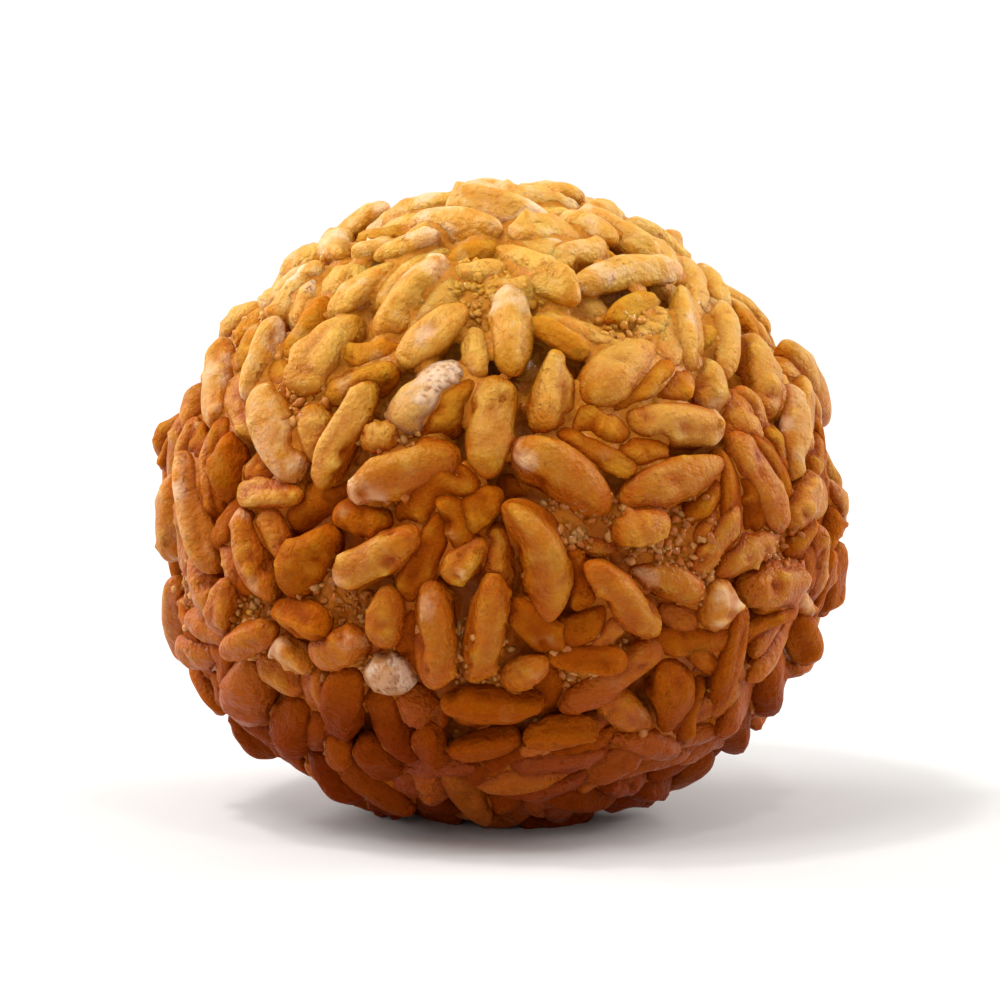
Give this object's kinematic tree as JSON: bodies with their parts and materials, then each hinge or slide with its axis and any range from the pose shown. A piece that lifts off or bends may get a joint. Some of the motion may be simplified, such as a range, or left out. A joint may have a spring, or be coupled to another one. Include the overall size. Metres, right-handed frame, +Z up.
{
  "type": "puffed rice ladoo",
  "caption": "Hand-rolled ball of puffed rice bound with cooked jaggery: an uneven, slightly flattened ball of glazed grains on a small flat foot.",
  "frame": {"origin": "centre of the ball's box at the level of its flat foot, which stands on the surface at z = 0", "axes": "+Z up through the ball, -Y towards the viewer of the side that the picture shows, +X to that viewer's right"},
  "size_m": [0.0548, 0.0534, 0.0497],
  "materials": {
    "glazed_rice": "puffed rice grain under a thin coat of golden-brown jaggery, satin to glossy",
    "pale_rice": "puffed rice that the jaggery has hardly coated or that has burst open, pale beige and porous",
    "jaggery": "cooked jaggery set between the grains, dark amber-brown and glossy"
  },
  "bodies": {
    "root": {"puffed_rice_ladoo": "glazed_rice"}
  },
  "joints": []
}
